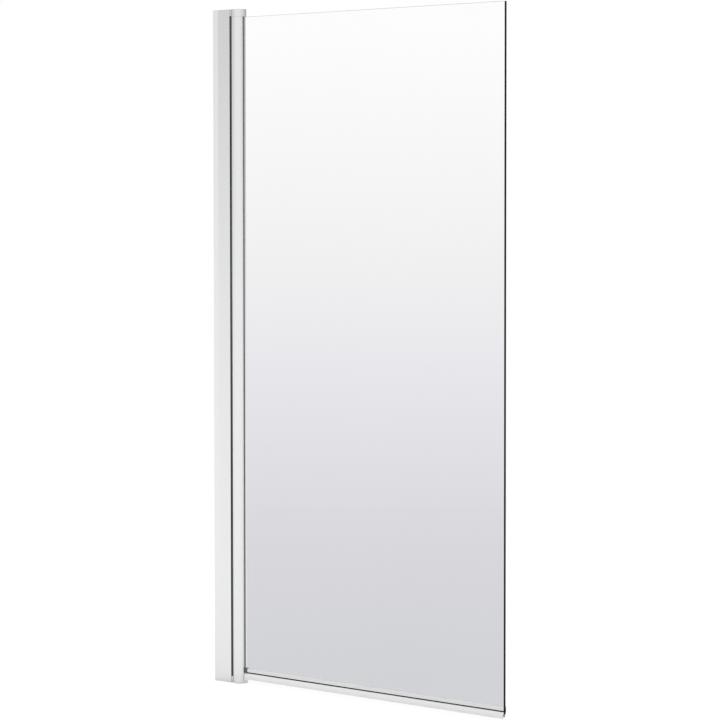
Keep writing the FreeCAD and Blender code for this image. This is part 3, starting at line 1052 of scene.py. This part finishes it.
@dataclass(frozen=True)
class Viewpoint:
    """Where the photograph was taken from."""

    place: Triple = (4.761, -4.433, 0.997)
    yaw: float = 44.46
    pitch: float = 2.86
    roll: float = -0.048
    lens: float = 155.55
    sensor: float = 36.0
    reach: float = 200.0

    def axes(self) -> tuple[Vector, Vector, Vector]:
        """The view's own directions.

        Returns:
            Right, up and forward.
        """
        yaw, pitch, roll = (math.radians(angle) for angle in (self.yaw, self.pitch, self.roll))
        level = math.cos(pitch)
        flat = Vector((math.cos(yaw), math.sin(yaw), 0))
        forward = Vector((-math.sin(yaw) * level, math.cos(yaw) * level, -math.sin(pitch)))
        above = flat.cross(forward)
        right = flat * math.cos(roll) + above * math.sin(roll)
        return right, right.cross(forward), forward

    def build(self) -> None:
        """Make the camera."""
        right, above, forward = self.axes()
        data = bpy.data.cameras.new("camera")
        data.lens = self.lens
        data.sensor_width = self.sensor
        data.clip_end = self.reach
        camera = bpy.data.objects.new("camera", data)
        turn = Matrix((right, above, -forward)).transposed().to_4x4()
        camera.matrix_world = Matrix.Translation(self.place) @ turn
        bpy.context.scene.collection.objects.link(camera)
        bpy.context.scene.camera = camera


@dataclass(frozen=True)
class Lamp:
    """A large soft lamp that metal and glass don't show."""

    name: str
    place: Triple
    size: float
    power: float

    def build(self, aim: Triple) -> None:
        """Hang the lamp and turn it to a point.

        Args:
            aim: The point that it shines at.
        """
        data = bpy.data.lights.new(self.name, "AREA")
        data.size = self.size
        data.energy = self.power
        lamp = bpy.data.objects.new(self.name, data)
        way = Vector(aim) - Vector(self.place)
        turn = way.to_track_quat("-Z", "Y").to_matrix().to_4x4()
        lamp.matrix_world = Matrix.Translation(self.place) @ turn
        lamp.visible_glossy = False
        lamp.visible_transmission = False
        bpy.context.scene.collection.objects.link(lamp)


@dataclass(frozen=True)
class Studio:
    """White room: what the eye, the metal and the glass see of it, and its lamps.

    In each table the first number is where a tone holds. It is how steeply a direction points up
    in through_glass, front_level and side_share, how far from the screen's plane a point of the
    floor lies in painted_contact_shade, and how far a direction faces the front in left_drop and
    right_drop. painted_contact_shade is painted shade: the floor's glow in reflections, darker
    near the screen as if in its shadow.
    """

    ambient: float = 0.6
    lamps: tuple[Lamp, ...] = (
        Lamp("key", (2.2, -3.2, 3.2), 2.6, 60.0),
        Lamp("fill", (-1.8, -2.6, 2.0), 2.4, 34.0),
        Lamp("back", (1.0, 3.2, 2.6), 2.4, 38.0),
    )
    lamps_aim: Triple = (0.4, 0.0, 0.7)
    floor_centre: Point = (0.4, 0.0)
    floor_steps: int = 64
    floor_half: float = 4.0
    floor_tone: float = 0.35
    floor_glow: float = 0.75
    floor_mirrored: float = 0.61
    headroom: float = 1.1  # brightest level that a table may hold
    through_glass: tuple[tuple[float, Colour], ...] = (
        (-0.150, (0.655, 0.665, 0.698)),
        (-0.110, (0.703, 0.700, 0.738)),
        (-0.055, (0.832, 0.824, 0.864)),
        (-0.015, (0.925, 0.922, 0.928)),
        (0.055, (1.045, 1.045, 1.045)),
    )
    front_level: Ramp = (
        (-0.15, 1.025),
        (-0.063, 1.0),
        (-0.03, 0.975),
        (0.0, 0.965),
        (0.031, 0.925),
        (0.058, 0.855),
    )
    # painted shade: dims the floor's glow that metal reflects near the screen, as if in its shadow
    painted_contact_shade: Ramp = (
        (0.016, 0.62),
        (0.028, 0.74),
        (0.045, 0.85),
        (0.066, 0.905),
        (0.12, 0.93),
        (0.22, 0.97),
        (0.45, 1.0),
    )
    side_share: Ramp = (
        (-0.095, 0.0),
        (-0.063, 0.13),
        (-0.03, 0.27),
        (0.0, 0.44),
        (0.031, 0.76),
        (0.05, 1.0),
    )
    side_blend: float = 0.15
    left_drop: Ramp = (
        (-1.0, 0.5),
        (-0.5, 0.24),
        (0.02, 0.22),
        (0.31, 0.11),
        (0.6, 0.02),
        (1.0, 0.0),
    )
    right_drop: Ramp = (
        (-0.9, 0.54),
        (-0.22, 0.42),
        (0.17, 0.24),
        (0.48, 0.18),
        (0.77, 0.11),
        (1.0, 0.0),
    )

    def build(self) -> None:
        """Make the room."""
        self.build_world()
        self.build_floor()
        for lamp in self.lamps:
            lamp.build(self.lamps_aim)

    def build_world(self) -> None:
        """White to the eye, a soft gradient through the glass and in the metal."""
        world = bpy.data.worlds.new("studio")
        bpy.context.scene.world = world
        world.use_nodes = True
        net = NodeNet(world.node_tree)
        path = net.node("ShaderNodeLightPath")
        way = net.node("ShaderNodeTexCoord").output("Generated")
        height = net.dot(way, (0.0, 0.0, 1.0))
        seen = self.graded(net, height, self.through_glass)
        plain = (self.ambient,) * 3
        mirrored = self.mirrored(net, way, height)
        shade = net.mix_colour(path.output("Is Glossy Ray"), plain, mirrored)
        shade = net.mix_colour(path.output("Is Transmission Ray"), shade, seen)
        shade = net.mix_colour(path.output("Is Camera Ray"), shade, WHITE)
        light = net.node("ShaderNodeBackground", {}, {"Color": shade, "Strength": 1.0})
        end = net.tree.nodes.new("ShaderNodeOutputWorld")
        net.tree.links.new(light.socket, end.inputs["Surface"])

    def graded(
        self,
        net: NodeNet,
        value: Signal,
        stops: Sequence[tuple[float, float | Colour]],
    ) -> Signal:
        """A colour or level that follows a value from stop to stop.

        Args:
            net: The nodes that it goes among.
            value: What it follows.
            stops: Values with the colour or level there, from low to high.

        Returns:
            The colour.
        """
        low, high = stops[0][0], stops[-1][0]
        made = []
        for place, tone in stops:
            colour = tone if isinstance(tone, tuple) else (tone,) * 3
            made.append(((place - low) / (high - low), tuple(part / self.headroom for part in colour)))
        share = (value - low) / (high - low)
        ramp = net.node("ShaderNodeValToRGB", {"stops": made}, {"Fac": share})
        return net.vector("SCALE", ramp, scale=self.headroom)

    def mirrored(self, net: NodeNet, way: Signal, height: Signal) -> Signal:
        """What the metal reflects: bright in front, dimmer at the sides and behind.

        Args:
            net: The world's nodes.
            way: The direction looked in.
            height: How steeply up it points.

        Returns:
            The grey level as a colour.
        """
        right, _, forward = Viewpoint().axes()
        front = net.dot(way, (-forward.x, -forward.y, 0.0))
        to_right = net.dot(way, (right.x, right.y, 0.0)).smooth(-self.side_blend, self.side_blend)
        left_drop = self.graded(net, front, self.left_drop)
        right_drop = self.graded(net, front, self.right_drop)
        drop = net.mix_colour(to_right, left_drop, right_drop)
        share = self.graded(net, height, self.side_share)
        rest = net.vector("SUBTRACT", WHITE, net.vector("MULTIPLY", drop, share))
        return net.vector("MULTIPLY", rest, self.graded(net, height, self.front_level))

    def build_floor(self) -> None:
        """A pale floor that keeps a soft shadow and that glass looks past; in reflections its glow has
        painted shade near the screen.
        """
        mesh = bmesh.new()
        outline = arc(self.floor_centre, self.floor_half, 0, FULL_TURN, self.floor_steps)[:-1]
        mesh.faces.new([mesh.verts.new((x, y, 0.0)) for x, y in outline])
        data = bpy.data.meshes.new("floor")
        mesh.to_mesh(data)
        mesh.free()
        floor = bpy.data.objects.new("floor", data)
        bpy.context.scene.collection.objects.link(floor)
        made = bpy.data.materials.new("floor")
        made.use_nodes = True
        net = NodeNet(made.node_tree)
        path = net.node("ShaderNodeLightPath")
        seen = path.output("Is Camera Ray") * self.floor_glow
        mirrored = path.output("Is Glossy Ray") * self.floor_mirrored
        matt = net.node("ShaderNodeBsdfDiffuse", {}, {"Color": (self.floor_tone,) * 3})
        beside = abs(net.dot(net.place(), (0.0, 1.0, 0.0)))
        # painted shade on the floor's reflected glow near the screen
        shade_near_screen = self.graded(net, beside, self.painted_contact_shade)
        tone = net.mix_colour(path.output("Is Glossy Ray"), WHITE, shade_near_screen)
        glow = net.node("ShaderNodeEmission", {}, {"Color": tone, "Strength": seen + mirrored})
        lit = net.node("ShaderNodeAddShader", {}, {0: matt, 1: glow})
        clear = net.node("ShaderNodeBsdfTransparent")
        through = path.output("Is Transmission Ray")
        net.surface(net.node("ShaderNodeMixShader", {}, {0: through, 1: lit, 2: clear}))
        data.materials.append(made)


def main() -> None:
    """Build the screen and the studio, and write how large they came out."""
    logging.basicConfig(level=logging.INFO, format="%(message)s")
    bpy.context.scene.view_settings.view_transform = "Standard"
    Viewpoint().build()
    for part in (WallSide(), PivotPost(), Leaf(), DripSeal(), Studio()):
        part.build()


if __name__ == "__main__":
    main()
